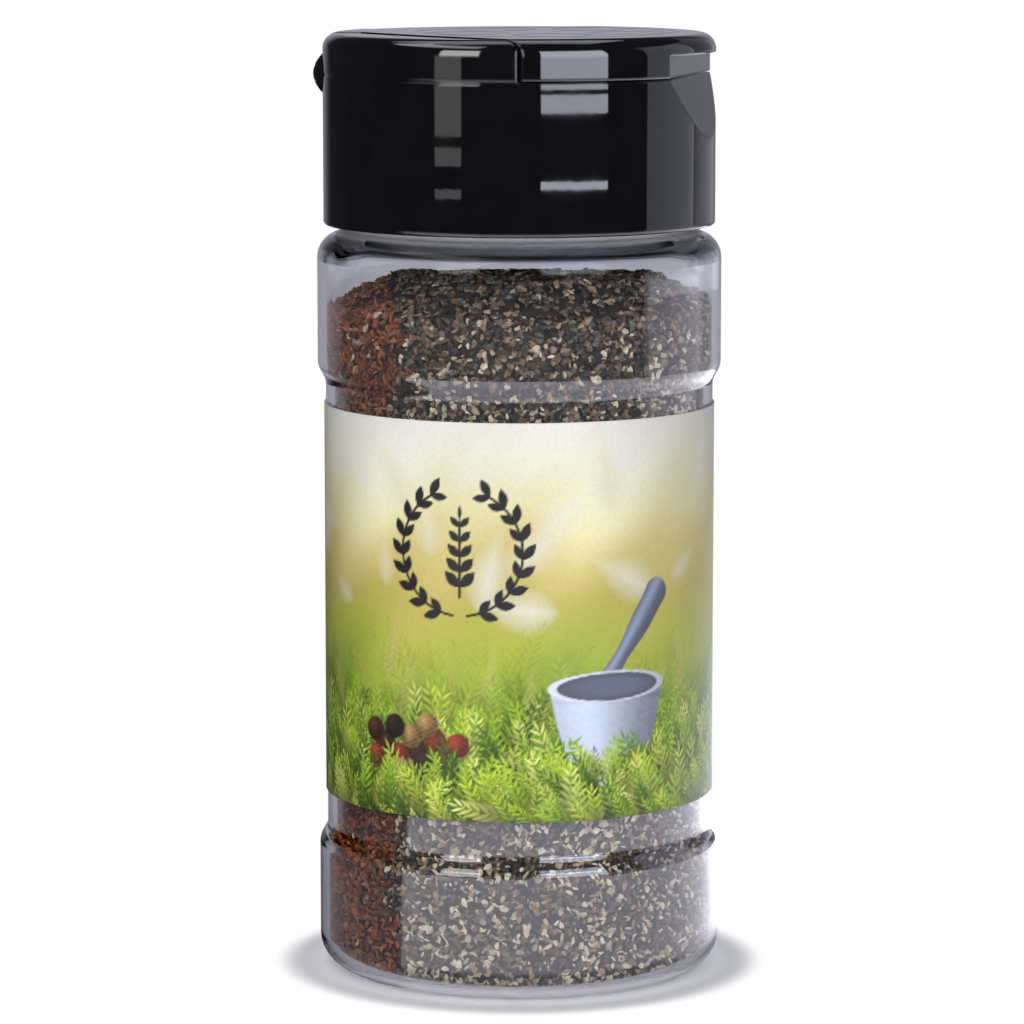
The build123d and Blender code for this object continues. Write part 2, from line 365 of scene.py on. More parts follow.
def cap_material(name="black_gloss_plastic", gloss=0.5, worn=0.0):
    """Glossy black polypropylene: faint haze, fine scratches, softened edges and the sink marks.

    The marks are duller than the rest. worn is the least roughness.
    """
    material, tree, shader = new_material(name, IOR=1.5)
    haze = noise_texture(tree, 260, detail=6)
    base = ramp(haze, [(0.35, srgb(11, 10, 12)), (0.7, srgb(17, 16, 19))])
    tree.links.new(base, shader.inputs["Base Color"])
    rough = ranged(haze, worn, worn + 0.028)
    tree.links.new(rough, shader.inputs["Roughness"])
    scratches = noise_texture(tree, 900, detail=2, stretch=(1, 1, 0.06))
    fine = bump(tree, shader, scratches, 0.06, 0.00003)
    marks = node(tree, "ShaderNodeBump", Strength=1.0, Distance=MARK_DEPTH * MM)
    height = ring_marks(tree, hole_circles())
    tree.links.new(height, marks.inputs["Height"])
    duller = times(height, 0.8 * gloss, gloss)
    tree.links.new(calculated("MAXIMUM", duller, 0.1 * gloss), shader.inputs["Specular IOR Level"])
    tree.links.new(marks.outputs["Normal"], fine.inputs["Normal"])
    edge = node(tree, "ShaderNodeBevel", Radius=0.45 * MM)
    edge.samples = 6
    tree.links.new(edge.outputs["Normal"], marks.inputs["Normal"])
    return material


# Where the clear plastic changes, from nothing at the first place to all at the second: heights on
# the jar, and how far to its front
FROST = (88.0 * MM, 88.3 * MM)
MILK = (88.05 * MM, 88.35 * MM)
MILK_THINS = (90.0 * MM, 92.0 * MM)
BASE_RIM = (2.0 * MM, 1.1 * MM)
LOW_INDEX = (83.6 * MM, 84.8 * MM)
LOW_INDEX_FRONT = (-9.0 * MM, -15.0 * MM)
# Heights of the dark band of painted reflection in the shoulder's tint
PAINTED_SHADE_BOTTOM = (86.2 * MM, 86.9 * MM)
PAINTED_SHADE_TOP = (88.2 * MM, 87.9 * MM)


def clear_material():
    """Clear PET, frosted and milky round the neck, with a dark band of painted reflection on the shoulder. It lets
    light through to the seasoning.
    """
    material, tree, shader = new_material("clear_pet")
    waves = noise_texture(tree, 70, detail=2)
    rough = ranged(waves, 0.0, 0.03)
    _, y, z = coordinates(tree)
    frosted = times(stepped(z, *FROST), 0.3)
    tree.links.new(calculated("ADD", rough, frosted), shader.inputs["Roughness"])
    under_cap = times(stepped(z, *MILK), 0.9)
    under_cap = times(stepped(z, *MILK_THINS), -0.65, under_cap)
    base_rim = times(stepped(z, *BASE_RIM), 0.5)
    milky = calculated("MAXIMUM", under_cap, base_rim)
    tree.links.new(calculated("SUBTRACT", 1.0, milky), shader.inputs["Transmission Weight"])
    # A lower index on the front of the shoulder's round keeps the lights from showing in it
    front = stepped(y, *LOW_INDEX_FRONT)
    shoulder = times(stepped(z, *LOW_INDEX), front)
    tree.links.new(times(shoulder, -0.27, 1.45), shader.inputs["IOR"])
    # Painted reflection: a dark band in the shoulder's tint stands in for the black cap mirrored in its round
    painted_band_top = stepped(z, *PAINTED_SHADE_TOP)
    shade = times(stepped(z, *PAINTED_SHADE_BOTTOM), painted_band_top)
    tone = ramp(shade, [(0.0, (0.9, 0.9, 0.925)), (1.0, (0.13, 0.135, 0.16))])
    tree.links.new(tone, shader.inputs["Base Color"])
    bump(tree, shader, waves, 0.06, 0.0002)
    path = tree.nodes.new("ShaderNodeLightPath")
    see_through = node(tree, "ShaderNodeBsdfTransparent", Color=(0.93, 0.94, 0.94, 1))
    mixed_surface(tree, path.outputs["Is Shadow Ray"], shader.outputs["BSDF"], see_through.outputs["BSDF"])
    return material


def flake_material(name, dark, light, roughness=0.6):
    """Dried flakes whose tone changes from flake to flake and a little within each."""
    material, tree, shader = new_material(name, Roughness=roughness)
    place = tree.nodes.new("ShaderNodeNewGeometry")
    grain = noise_texture(tree, 2600, detail=5, roughness=0.7)
    within = ranged(grain, -0.45, 0.85)
    mixed = times(place.outputs["Random Per Island"], 0.6, within)
    tone = ramp(mixed, [(0.05, dark), (0.95, light)])
    tree.links.new(tone, shader.inputs["Base Color"])
    bump(tree, shader, grain, 0.4, 0.0002)
    return material


def label_material():
    """A printed film: the print, with painted shade towards the sides, is a colour attribute that the label's mesh
    carries.
    """
    material, tree, shader = new_material("printed_film", Specular_IOR_Level=0.2)
    ink = tree.nodes.new("ShaderNodeAttribute")
    ink.attribute_name = "print"
    grain = noise_texture(tree, 2600, detail=2)
    tone = ramp(grain, [(0.3, (0.93, 0.93, 0.93)), (0.7, (1, 1, 1))])
    tinted = tree.nodes.new("ShaderNodeMix")
    tinted.data_type = "RGBA"
    tinted.blend_type = "MULTIPLY"
    tinted.inputs["Factor"].default_value = 1
    tree.links.new(ink.outputs["Color"], tinted.inputs["A"])
    tree.links.new(tone, tinted.inputs["B"])
    tree.links.new(tinted.outputs["Result"], shader.inputs["Base Color"])
    waves = noise_texture(tree, 60, detail=3)
    rough = ranged(waves, 0.38, 0.55)
    tree.links.new(rough, shader.inputs["Roughness"])
    bump(tree, shader, waves, 0.05, 0.0002)
    return material


def foam_material():
    """Fine-celled white foam."""
    material, tree, shader = new_material("white_foam", Roughness=0.8)
    cells = noise_texture(tree, 2200, detail=3)
    tone = ramp(cells, [(0.3, srgb(205, 204, 198)), (0.7, srgb(238, 238, 233))])
    tree.links.new(tone, shader.inputs["Base Color"])
    bump(tree, shader, cells, 0.3, 0.0001)
    return material


# Pieces


def thread_height(angle, z):
    """How far the neck's thread stands out, as a share of its depth, at an angle and a height."""
    height = np.zeros(np.broadcast(angle, z).shape)
    for turn in range(3):
        along = angle / (2 * math.pi) + turn
        middle = THREAD_START + THREAD_PITCH * along
        off = np.abs(z - middle)
        ridge = np.clip((1.0 - off) / 0.5, 0, 1)
        fade = np.clip((THREAD_TURNS - along) / 0.12, 0, 1) * np.clip(along / 0.12, 0, 1)
        height = np.maximum(height, ridge * fade)
    return height


def jar_shell():
    """The blown jar: one closed skin, outside and inside, with the thread round its neck."""
    inner_wall = JAR_RADIUS - JAR_WALL
    inner_panel = PANEL_RADIUS - JAR_WALL
    corners = [
        (STANDING_RING, 0, 0),
        (JAR_RADIUS, 0, BASE_CORNER),
        (JAR_RADIUS, LOWER_BAND_TOP, STEP_ROUND),
        (PANEL_RADIUS, PANEL_BOTTOM, STEP_ROUND),
        (PANEL_RADIUS, PANEL_TOP, STEP_ROUND),
        (JAR_RADIUS, UPPER_BAND_BOTTOM, STEP_ROUND),
        (JAR_RADIUS, SHOULDER_RIM, SHOULDER_ROUND),
        (NECK_RADIUS, SHOULDER_TOP, NECK_FOOT_ROUND),
        (NECK_RADIUS, NECK_TOP, LIP_ROUND),
        (NECK_BORE, NECK_TOP, LIP_ROUND),
        (NECK_BORE, SHOULDER_TOP - JAR_WALL, BORE_FOOT_ROUND),
        (inner_wall, SHOULDER_RIM - JAR_WALL, SHOULDER_ROUND - JAR_WALL),
        (inner_wall, UPPER_BAND_BOTTOM, STEP_ROUND),
        (inner_panel, PANEL_TOP, STEP_ROUND),
        (inner_panel, PANEL_BOTTOM, STEP_ROUND),
        (inner_wall, LOWER_BAND_TOP, STEP_ROUND),
        (inner_wall, BASE_THICKNESS, BASE_CORNER - JAR_WALL),
        (STANDING_RING, BASE_THICKNESS, 0),
    ]
    outside = rounded(corners)
    outside = divided(outside, SHOULDER_TOP, NECK_TOP, 0.22)
    profile = np.array(dome(0)[1:-1] + outside + dome(BASE_THICKNESS)[1:-1][::-1])
    columns = 240
    angle = np.arange(columns) * 2 * math.pi / columns
    radius = np.repeat(profile[:, :1], columns, axis=1)
    height = np.repeat(profile[:, 1:], columns, axis=1)
    on_neck = (np.abs(radius - NECK_RADIUS) < 0.01) & (height > SHOULDER_TOP)
    radius = radius + on_neck * THREAD_DEPTH * thread_height(angle[None, :], height)
    points = around(radius, angle, height).reshape(-1, 3)
    rows = len(profile)
    faces = grid_faces(rows, columns)
    crowns = np.array([[0, 0, PUSH_UP], [0, 0, PUSH_UP + BASE_THICKNESS]])
    points = np.concatenate([points, crowns])
    low = rows * columns
    last = (rows - 1) * columns
    for j in range(columns):
        k = (j + 1) % columns
        faces.append((low, k, j))
        faces.append((low + 1, last + j, last + k))
    return mesh_object("jar_shell", points, faces)


def seasoning_bed():
    """The dark body of the fill behind its outer flakes."""
    columns = 300
    levels = 150
    bottom = 2.6
    under_top = 0.6
    angle = np.arange(columns) * 2 * math.pi / columns
    wrapped = (angle + math.pi) % (2 * math.pi) - math.pi
    rows = []
    for z in np.linspace(bottom, FILL_HEIGHTS[-1] - under_top, levels):
        waves = 0.12 * np.sin(23 * angle + 2 * z) * np.cos(5 * z + 17 * angle)
        depth = 0.55 + waves + rng.normal(0, 0.06, columns)
        rows.append(around(inner_radius(z) - depth, angle, z))
    for radius in (21.5, 19.5, 17.5, 15.5, 11.0, 7.0, 3.0):
        z = heap_height(radius, wrapped) - under_top + rng.normal(0, 0.12, columns)
        rows.append(around(radius, angle, z))
    points = np.concatenate(rows)
    faces = grid_faces(len(rows), columns)
    faces.append(tuple(range(columns))[::-1])
    last = (len(rows) - 1) * columns
    faces.append(tuple(range(last, last + columns)))
    return mesh_object("seasoning_bed", points, faces)


def heap_height(radius, angle):
    """Height of the seasoning's top: the heap, uneven, and a little fuller on the right."""
    uneven = 0.24 * np.sin(5 * angle + 0.9 * radius) + 0.2 * np.sin(11 * angle - 1.7 * radius)
    full = 0.9 * np.exp(-((angle / 0.5) ** 2)) * np.clip((radius - 14) / 6, 0, 1)
    return np.interp(radius, FILL_RADII, FILL_HEIGHTS) - 0.3 + uneven + full


def flake_template(sides, thickness):
    """An irregular chopped flake, longer than wide: two ragged rings of corners, a little bent."""
    angle = (np.arange(sides) + rng.uniform(-0.35, 0.35, sides)) * 2 * math.pi / sides
    radius = rng.uniform(0.6, 1.0, sides)
    x = np.cos(angle) * radius
    y = np.sin(angle) * radius * rng.uniform(0.36, 0.78)
    bend = rng.uniform(-0.2, 0.2) * x**2
    low = np.stack([x, y, bend - thickness + rng.normal(0, 0.03, sides)], axis=-1)
    shrink = rng.uniform(0.5, 0.92, sides)
    high = np.stack([x * shrink, y * shrink, bend + thickness + rng.normal(0, 0.06, sides)], axis=-1)
    points = np.concatenate([low, high])
    faces = [tuple(range(sides))[::-1], tuple(range(sides, 2 * sides))]
    for j in range(sides):
        k = (j + 1) % sides
        faces.append((j, k, sides + k, sides + j))
    return points, faces


def turned(normal, spin):
    """Axes of a flake that lies across a normal, turned about it by spin."""
    helper = np.where(np.abs(normal[:, 2:]) < 0.9, [[0, 0, 1.0]], [[1.0, 0, 0]])
    side = np.cross(helper, normal)
    side /= np.linalg.norm(side, axis=1, keepdims=True)
    other = np.cross(normal, side)
    c = np.cos(spin)[:, None]
    s = np.sin(spin)[:, None]
    return side * c + other * s, other * c - side * s


def wall_places(low, high):
    """Middles and normals of two layers of flakes against the wall between two heights."""
    middles = []
    normals = []
    pitch = 0.76
    for layer, depth in ((0, 0.12), (1, 0.4)):
        for z in np.arange(low, high, pitch):
            count = int(2 * math.pi * inner_radius(z) / pitch)
            angle = (np.arange(count) + 0.5 * layer + rng.uniform(-0.5, 0.5, count)) * 2 * math.pi / count
            height = np.clip(z + rng.uniform(-0.6, 0.6, count) * pitch, low, high)
            radius = inner_radius(height) - depth - rng.uniform(0, 0.12, count)
            middles.append(around(radius, angle, height))
            normals.append(around(1.0, angle, 0.0))
    return middles, normals


def top_places(count):
    """Middles and normals of the flakes that lie on the fill's top."""
    radius = 22.4 * np.sqrt(rng.uniform(0, 1, count))
    angle = rng.uniform(-math.pi, math.pi, count)
    height = heap_height(radius, angle) - rng.uniform(0.0, 0.45, count)
    slope = np.where(radius > FILL_RADII[1], 0.47, 0.0)
    return around(radius, angle, height), around(slope, angle, 1.0)


def flake_kinds(middles):
    """Which material each flake has: a reddish seam down the left side, a dark mix elsewhere."""
    count = len(middles)
    seam = -14.4 + 0.7 * np.sin(middles[:, 2] * 0.35) + rng.normal(0, 0.5, count)
    red = middles[:, 0] < seam
    draw = rng.uniform(0, 1, count)
    pale = np.interp(middles[:, 2], [0, 22, 68, 75, 80, 84], [0.25, 0.24, 0.24, 0.12, 0.05, 0.03])
    kinds = np.array([4, 0, 1, 3, 0])[np.searchsorted([0.15, 0.43, 0.78, 0.975], draw)]
    kinds = np.where(rng.uniform(0, 1, count) < pale, 2, kinds)
    red_mix = np.array([5, 6, 1, 3, 2])[np.searchsorted([0.48, 0.86, 0.94, 0.985], draw)]
    return np.where(red, red_mix, kinds)


FLAKE_TONES = [
    ("flake_black", (12, 10, 8), (48, 39, 32)),
    ("flake_brown", (34, 23, 15), (122, 92, 66)),
    ("flake_cream", (140, 124, 92), (228, 216, 184)),
    ("flake_tan", (90, 68, 48), (176, 146, 114)),
    ("flake_olive", (46, 42, 33), (120, 112, 90)),
    ("flake_red", (58, 21, 5), (126, 60, 22)),
    ("flake_rust", (92, 42, 13), (170, 98, 44)),
]


def flakes_piece(name, middles, normals):
    """Loose flakes joined in one mesh, with a material for each kind, kept inside the jar's wall."""
    kinds = flake_kinds(middles)
    count = len(middles)
    normals = normals / np.linalg.norm(normals, axis=1, keepdims=True) + rng.normal(0, 0.3, (count, 3))
    normals /= np.linalg.norm(normals, axis=1, keepdims=True)
    along, across = turned(normals, rng.uniform(0, 2 * math.pi, count))
    size = np.exp(rng.normal(math.log(0.6), 0.26, count)).clip(0.3, 0.95)
    templates = [flake_template(5 + k % 2, 0.12 + 0.03 * (k % 4)) for k in range(24)]
    choice = rng.integers(0, len(templates), count)
    points = []
    faces = []
    slots = []
    offset = 0
    for k, (shape, sides) in enumerate(templates):
        mine = np.flatnonzero(choice == k)
        axes = np.stack([along[mine], across[mine], normals[mine]], axis=1) * size[mine, None, None]
        placed = shape @ axes + middles[mine, None, :]
        radial = np.hypot(placed[..., 0], placed[..., 1])
        over = (radial - inner_radius(placed[..., 2]) + 0.06).max(axis=1).clip(0, None)
        outward = middles[mine, :2] / np.linalg.norm(middles[mine, :2], axis=1, keepdims=True)
        placed[..., :2] -= (outward * over[:, None])[:, None, :]
        points.append(placed.reshape(-1, 3))
        for i in range(len(mine)):
            start = offset + i * len(shape)
            faces.extend(tuple(start + c for c in face) for face in sides)
        slots.append(np.repeat(kinds[mine], len(sides)))
        offset += placed.shape[0] * len(shape)
    flakes = mesh_object(name, np.concatenate(points), faces, smooth=False)
    for kind, dark, light in FLAKE_TONES:
        flakes.data.materials.append(flake_material(name + kind[5:], srgb(*dark), srgb(*light)))
    flakes.data.polygons.foreach_set("material_index", np.concatenate(slots))
    return flakes


def seasoning_flakes():
    """The flakes below the label, and those above it with the ones on the fill's top."""
    middles, normals = wall_places(1.9, LABEL_BOTTOM + 1.2)
    low = flakes_piece("flakes_low", np.concatenate(middles), np.concatenate(normals))
    middles, normals = wall_places(LABEL_BOTTOM + LABEL_HEIGHT - 1.5, FILL_HEIGHTS[-1])
    top_middles, top_normals = top_places(4200)
    middles = np.concatenate([*middles, top_middles])
    high = flakes_piece("flakes_high", middles, np.concatenate([*normals, top_normals]))
    return low, high


# The label's print: herb leaves, a mortar and pestle, peppercorns and a small wreath

GRADIENT_HEIGHTS = (0, 6, 12, 18, 22, 26, 31, 36, 42, 47)
GRADIENT_COLOURS = (
    (60, 88, 24), (92, 124, 34), (140, 170, 50), (176, 194, 66), (192, 194, 78),
    (206, 192, 96), (228, 210, 132), (246, 238, 182), (248, 245, 218), (243, 240, 230),
)
LEAF_GREENS = (
    (206, 224, 70), (178, 210, 54), (150, 192, 44), (112, 156, 36), (70, 106, 28),
    (226, 234, 128), (190, 206, 84), (164, 200, 50),
)
PALE_LEAVES = ((252, 249, 232), (246, 236, 196), (255, 252, 240))
BLURRED_LEAVES = ((198, 182, 96), (168, 172, 74), (222, 206, 128))
PEPPERCORNS = ((84, 52, 34), (150, 62, 38), (176, 140, 84), (52, 38, 30))
INK = (30, 27, 26)
# Foot heights from and to, spacing, softness and strength of the layers of herbs, far ones first
HERB_LAYERS = (
    (13.0, 18.0, 0.9, 0.7, 0.4),
    (9.0, 14.0, 0.6, 0.4, 0.7),
    (6.5, 10.0, 0.5, 0.2, 0.95),
    (4.0, 7.5, 0.5, 0.14, 1.0),
    (1.5, 5.0, 0.5, 0.12, 1.0),
    (-1.0, 2.5, 0.5, 0.12, 1.0),
    (-3.5, 0.5, 0.5, 0.12, 1.0),
)
# The layers that the mortar and the peppercorns are printed over
MORTAR_LAYER = 3
PEPPER_LAYER = 4
# Middles of the motifs along the label, in millimetres from the front's middle. On the back the
# wreath lies further from the seam.
MORTAR_PLACE = 11.0
PEPPER_PLACE = -13.5
WREATH_PLACE = -7.0
BACK_WREATH_PLACE = -10.9
# Half the length of the label's finely printed front, and its lap's rise and half width
FRONT_REACH = 38.0
LAP_RISE = 0.12
LAP_HALF_WIDTH = 2.0


def ahead(u, v, lean, far):
    """The point so far from another in the direction of a lean from upright."""
    return u + far * math.sin(lean), v + far * math.cos(lean)


def leaned(x, y, lean):
    """Coordinates along and across a direction that leans from upright."""
    return x * math.sin(lean) + y * math.cos(lean), x * math.cos(lean) - y * math.sin(lean)


class Print:
    """The label laid flat: arc length from the front's middle, height, and a colour at each point."""

    def __init__(self, position, height):
        self.position = position
        self.height = height
        self.u, self.v = np.meshgrid(position, height)
        patches = np.sin(0.21 * self.u + 0.9 * np.sin(0.11 * self.v)) * np.cos(0.16 * self.v + 0.4)
        patches = patches + 0.5 * np.sin(0.43 * self.u - 0.29 * self.v + 1.3)
        ground = self.v + 1.8 * patches
        stops = np.array([srgb(*c) for c in GRADIENT_COLOURS])
        channels = [np.interp(ground, GRADIENT_HEIGHTS, stops[:, i]) for i in range(3)]
        self.colour = np.stack(channels, axis=-1) * (1 + 0.06 * patches[..., None])

    def window(self, u, v, reach):
        """The part of the print within reach of a point, and its coordinates from there."""
        rows = slice(*np.searchsorted(self.height, (v - reach, v + reach)))
        columns = slice(*np.searchsorted(self.position, (u - reach, u + reach)))
        part = (rows, columns)
        return part, self.u[part] - u, self.v[part] - v

    def paint(self, part, cover, tone, light=1.0):
        """Lays a screen colour, times its light, over part of the print; cover is from 0 to 1."""
        cover = np.clip(cover, 0, 1)[..., None]
        colour = np.array(srgb(*tone)) * np.asarray(light)[..., None]
        self.colour[part] = self.colour[part] * (1 - cover) + colour * cover

    def leaf(self, u, v, lean, length, width, tone, soft=0.12, strength=1.0):
        """A pointed leaf with a pale midrib, if it is sharp. lean is its angle from upright."""
        part, x, y = self.window(u, v, length * 1.05)
        curl = 0.12 * length * math.sin(lean * 2.3)
        along, across = leaned(x, y, lean)
        along = along / length
        share = np.clip(along, 0, 1)
        across = across - curl * share**2
        half = width * np.sin(math.pi * share**0.75) * (1 - 0.3 * share)
        cover = strength * ((along > 0) & (along < 1)) * (half - np.abs(across)) / soft
        side = np.clip(across / np.maximum(half, 0.05), -1, 1)
        light = 0.98 - 0.06 * (1 - share)
        if soft < 1:
            midrib = 0.35 * np.exp(-((across / 0.1) ** 2)) * (soft < 0.3)
            light = 0.9 + 0.22 * side - 0.4 * (1 - share) ** 2 + midrib
        self.paint(part, cover, tone, light)

    def herb(self, u, v, lean, length, tone, soft, strength):
        """A sprig of small narrow leaves in pairs, darker towards its foot."""
        bend = 0.25 * math.sin(9 * u + 5 * v)
        for k in range(6):
            share = (k + 0.5) / 6
            here = lean + bend * share
            x, y = ahead(u, v, here, share * length)
            shade = [c * (0.5 + 0.62 * share) for c in tone]
            size = 0.42 * length * (1.15 - 0.5 * share)
            for side in (-1, 1):
                self.leaf(x, y, here + side * 0.62, size, 0.15 * size, shade, soft, strength)
        self.leaf(*ahead(u, v, here, length), here, 0.3 * length, 0.24, tone, soft)

    def ball(self, u, v, radius, tone):
        """A small shaded ball, such as a peppercorn."""
        part, x, y = self.window(u, v, radius * 1.3)
        far = np.hypot(x, y)
        wrinkle = 0.14 * np.sin(7 * x / radius + 4 * np.sin(6 * y / radius))
        glint = np.clip(1 - np.hypot(x + 0.35 * radius, y - 0.4 * radius) / radius, 0, 1)
        shadow = (1.25 * radius - np.hypot(x - 0.12 * radius, y + 0.2 * radius)) / (0.4 * radius)
        self.paint(part, 0.5 * np.clip(shadow, 0, 1), (24, 28, 12))
        self.paint(part, (radius - far) / 0.14, tone, 0.4 + glint + wrinkle)

    def pestle(self, u, v, lean, length, width):
        """A blue-grey pestle, thicker at its far end."""
        part, x, y = self.window(u, v, length + width)
        along, side = leaned(x, y, lean)
        along = np.clip(along / length, 0, 1)
        near = np.hypot(x - along * length * math.sin(lean), y - along * length * math.cos(lean))
        half = width * (0.58 + 0.42 * along**3 + 0.07 * np.sin(11 * along))
        light = 0.42 + 0.8 * np.exp(-(((side / half) + 0.35) ** 2) * 4.5) - 0.15 * along
        self.paint(part, (half - near) / 0.14, (150, 160, 184), light)

    def mortar(self, u, v, width, height):
        """A pale blue-white bowl on a foot, seen a little from above."""
        part, x, y = self.window(u, v, 1.6 * max(width, height))
        share = np.clip(y / height, 0, 1)
        half = width * (0.52 + 0.48 * np.sqrt(np.clip((share - 0.12) / 0.88, 0, 1)))
        half = np.where(share < 0.12, width * (0.62 - 0.9 * share), half)
        sag = 0.16 * width * (1 - (x / width) ** 2).clip(0, 1)
        inside = (y > -0.5 * sag) & (y < height)
        side = np.clip(x / half, -1, 1)
        light = 0.5 + 0.56 * np.exp(-((side + 0.36) ** 2) * 2.6) - 0.2 * side + 0.12 * share
        foot_groove = 0.14 * np.exp(-((share - 0.16) ** 2) * 300)
        rim_groove = 0.12 * np.exp(-((share - 0.86) ** 2) * 1500)
        light = light - foot_groove - rim_groove
        light = light + 0.04 * np.sin(2.1 * x + 1.7 * np.sin(3.0 * y)) * np.sin(2.6 * y + x)
        self.paint(part, inside * (half - np.abs(x)) / 0.18, (206, 216, 234), light)
        rim = np.hypot(x / width, (y - height) / (0.24 * width))
        self.paint(part, (1.04 - rim) / 0.04, (232, 236, 246), 0.92 - 0.14 * side)
        shade = 0.45 + 0.55 * np.clip((0.9 - rim) * 2.2, 0, 1) * (0.6 + 0.4 * side)
        self.paint(part, (0.9 - rim) / 0.04, (120, 128, 150), shade)

    def sprig(self, u, v, lean, length, pairs, leaf_length):
        """A dark sprig: a thin stem with paired narrow leaves."""
        for share in np.linspace(0, 1, 60):
            self.dot(*ahead(u, v, lean, share * length), 0.17)
        for k in range(pairs):
            share = (k + 0.6) / pairs
            x, y = ahead(u, v, lean, share * length)
            size = leaf_length * (1.1 - 0.45 * share)
            for side in (-1, 1):
                self.flat_leaf(x, y, lean + side * 0.75, size, 0.26 * size)
        self.flat_leaf(*ahead(u, v, lean, length), lean, 0.8 * leaf_length, 0.3)

    def dot(self, u, v, radius):
        part, x, y = self.window(u, v, radius + 0.3)
        self.paint(part, (radius - np.hypot(x, y)) / 0.12 + 0.5, INK)

    def flat_leaf(self, u, v, lean, length, width):
        part, x, y = self.window(u, v, length * 1.05)
        along, across = leaned(x, y, lean)
        along = np.clip(along / length, 0, 1)
        inside = (along > 0) & (along < 1)
        half = width * np.sin(math.pi * along)
        self.paint(part, inside * (half - np.abs(across)) / 0.12, INK)

    def wreath(self, u, v, radius):
        """A round wreath of small paired leaves, open at its top, with a sprig inside it."""
        for side in (-1, 1):
            for turn in np.linspace(0.12, 2.72, 120):
                self.dot(u + side * radius * math.sin(turn), v - radius * math.cos(turn), 0.16)
            for k in range(9):
                turn = 0.3 + 0.29 * k
                x = u + side * radius * math.sin(turn)
                y = v - radius * math.cos(turn)
                ahead = side * (math.pi / 2 - turn)
                self.flat_leaf(x, y, ahead + side * 0.55, 2.6, 0.62)
                self.flat_leaf(x, y, ahead - side * 0.55, 2.3, 0.55)
        self.sprig(u, v - 5.2, 0.0, 8.8, 5, 2.6)


def printed(position, height):
    """The whole print on a grid of arc lengths and heights, darkened by painted shade towards its sides.

    The still life and the wreath show on the front and, half a turn away, on the back.
    """
    art = Print(position, height)
    draw = np.random.default_rng(21)
    reach = position[-1]
    half_turn = math.pi * LABEL_OUTSIDE
    for u in np.arange(-reach, reach, 3.1):
        tone = PALE_LEAVES[draw.integers(0, 3)]
        size = draw.uniform(6, 12)
        v = draw.uniform(24, 40)
        art.leaf(u, v, draw.normal(0, 0.9), size, size * 0.32, tone, soft=3.0, strength=0.75)
    for u in np.arange(-reach, reach, 2.3):
        lean = draw.normal(0, 0.3)
        tone = BLURRED_LEAVES[draw.integers(0, 3)]
        v = draw.uniform(9, 15)
        length = draw.uniform(7, 14)
        u = u + draw.uniform(-1, 1)
        art.leaf(u, v, lean, length, draw.uniform(0.9, 1.6), tone, soft=1.3, strength=0.5)
    for layer, (low, high, spacing, soft, strength) in enumerate(HERB_LAYERS):
        for u in np.arange(-reach, reach, spacing):
            tone = LEAF_GREENS[draw.integers(0, len(LEAF_GREENS))]
            v = draw.uniform(low, high)
            length = draw.uniform(3.0, 6.5)
            art.herb(u + draw.uniform(-1, 1), v, draw.normal(0, 0.55), length, tone, soft, strength)
        if layer == MORTAR_LAYER:
            for middle in (MORTAR_PLACE, MORTAR_PLACE - half_turn):
                art.pestle(middle - 2.2, 14.0, 0.62, 15.0, 1.9)
                art.mortar(middle, 4.6, 7.6, 11.0)
        if layer == PEPPER_LAYER:
            for middle in (PEPPER_PLACE, PEPPER_PLACE + half_turn):
                for k in range(14):
                    angle = 2.4 * k
                    far = 1.75 * math.sqrt(k + 0.3)
                    v = 8.0 - 0.6 * far * math.sin(angle)
                    art.ball(middle + far * math.cos(angle), v, 1.5, PEPPERCORNS[k % 4])
    for middle in (WREATH_PLACE, BACK_WREATH_PLACE + half_turn):
        art.wreath(middle, 31.5, 7.4)
    across = (art.u + half_turn / 2) % half_turn - half_turn / 2
    # Painted shade: it darkens towards both sides, where the jar turns from the light, from nearer the middle on
    # the right
    start = np.where(across > 0, 7, 17)
    painted_side_shade = 1 - 0.7 * (np.clip(np.abs(across) - start, 0, None) / (half_turn / 2 - start)) ** 1.1
    return art.colour * painted_side_shade[..., None]


def printed_label():
    """The wrap label: a thin closed sleeve with a finely divided outside that carries the print and its painted
    shade.
    """
    front = np.arange(-FRONT_REACH, FRONT_REACH, 0.16)
    half_turn = math.pi * LABEL_OUTSIDE
    back = np.linspace(FRONT_REACH, half_turn * 2 - FRONT_REACH, 190, endpoint=False)
    position = np.concatenate([front, back])
    angle = position / LABEL_OUTSIDE - math.pi / 2
    height = np.linspace(0, LABEL_HEIGHT, 280)
    wrapped = (position + half_turn) % (2 * half_turn) - half_turn
    order = np.argsort(wrapped)
    colours = np.empty((len(height), len(position), 3))
    colours[:, order] = printed(wrapped[order], height)
    columns = len(position)
    radius = LABEL_OUTSIDE + LAP_RISE * (np.abs(np.abs(wrapped) - half_turn) < LAP_HALF_WIDTH)
    outside = around(radius, angle, LABEL_BOTTOM + height[:, None])
    ring = around(LABEL_INSIDE, angle, 0.0)
    top = ring + [0, 0, LABEL_BOTTOM + LABEL_HEIGHT]
    bottom = ring + [0, 0, LABEL_BOTTOM]
    points = np.concatenate([outside.reshape(-1, 3), top, bottom])
    rows = len(height) + 2
    faces = grid_faces(rows, columns)
    last = (rows - 1) * columns
    faces.extend((last + j, last + (j + 1) % columns, (j + 1) % columns, j) for j in range(columns))
    label = mesh_object("printed_label", points, faces)
    edge = np.full((2 * columns, 3), srgb(222, 218, 206))
    ink = np.concatenate([colours.reshape(-1, 3), edge])
    ink = np.concatenate([ink, np.ones((len(ink), 1))], axis=1)
    layer = label.data.color_attributes.new("print", "FLOAT_COLOR", "POINT")
    layer.data.foreach_set("color", ink.astype(np.float32).ravel())
    label.data.materials.append(label_material())
    return label


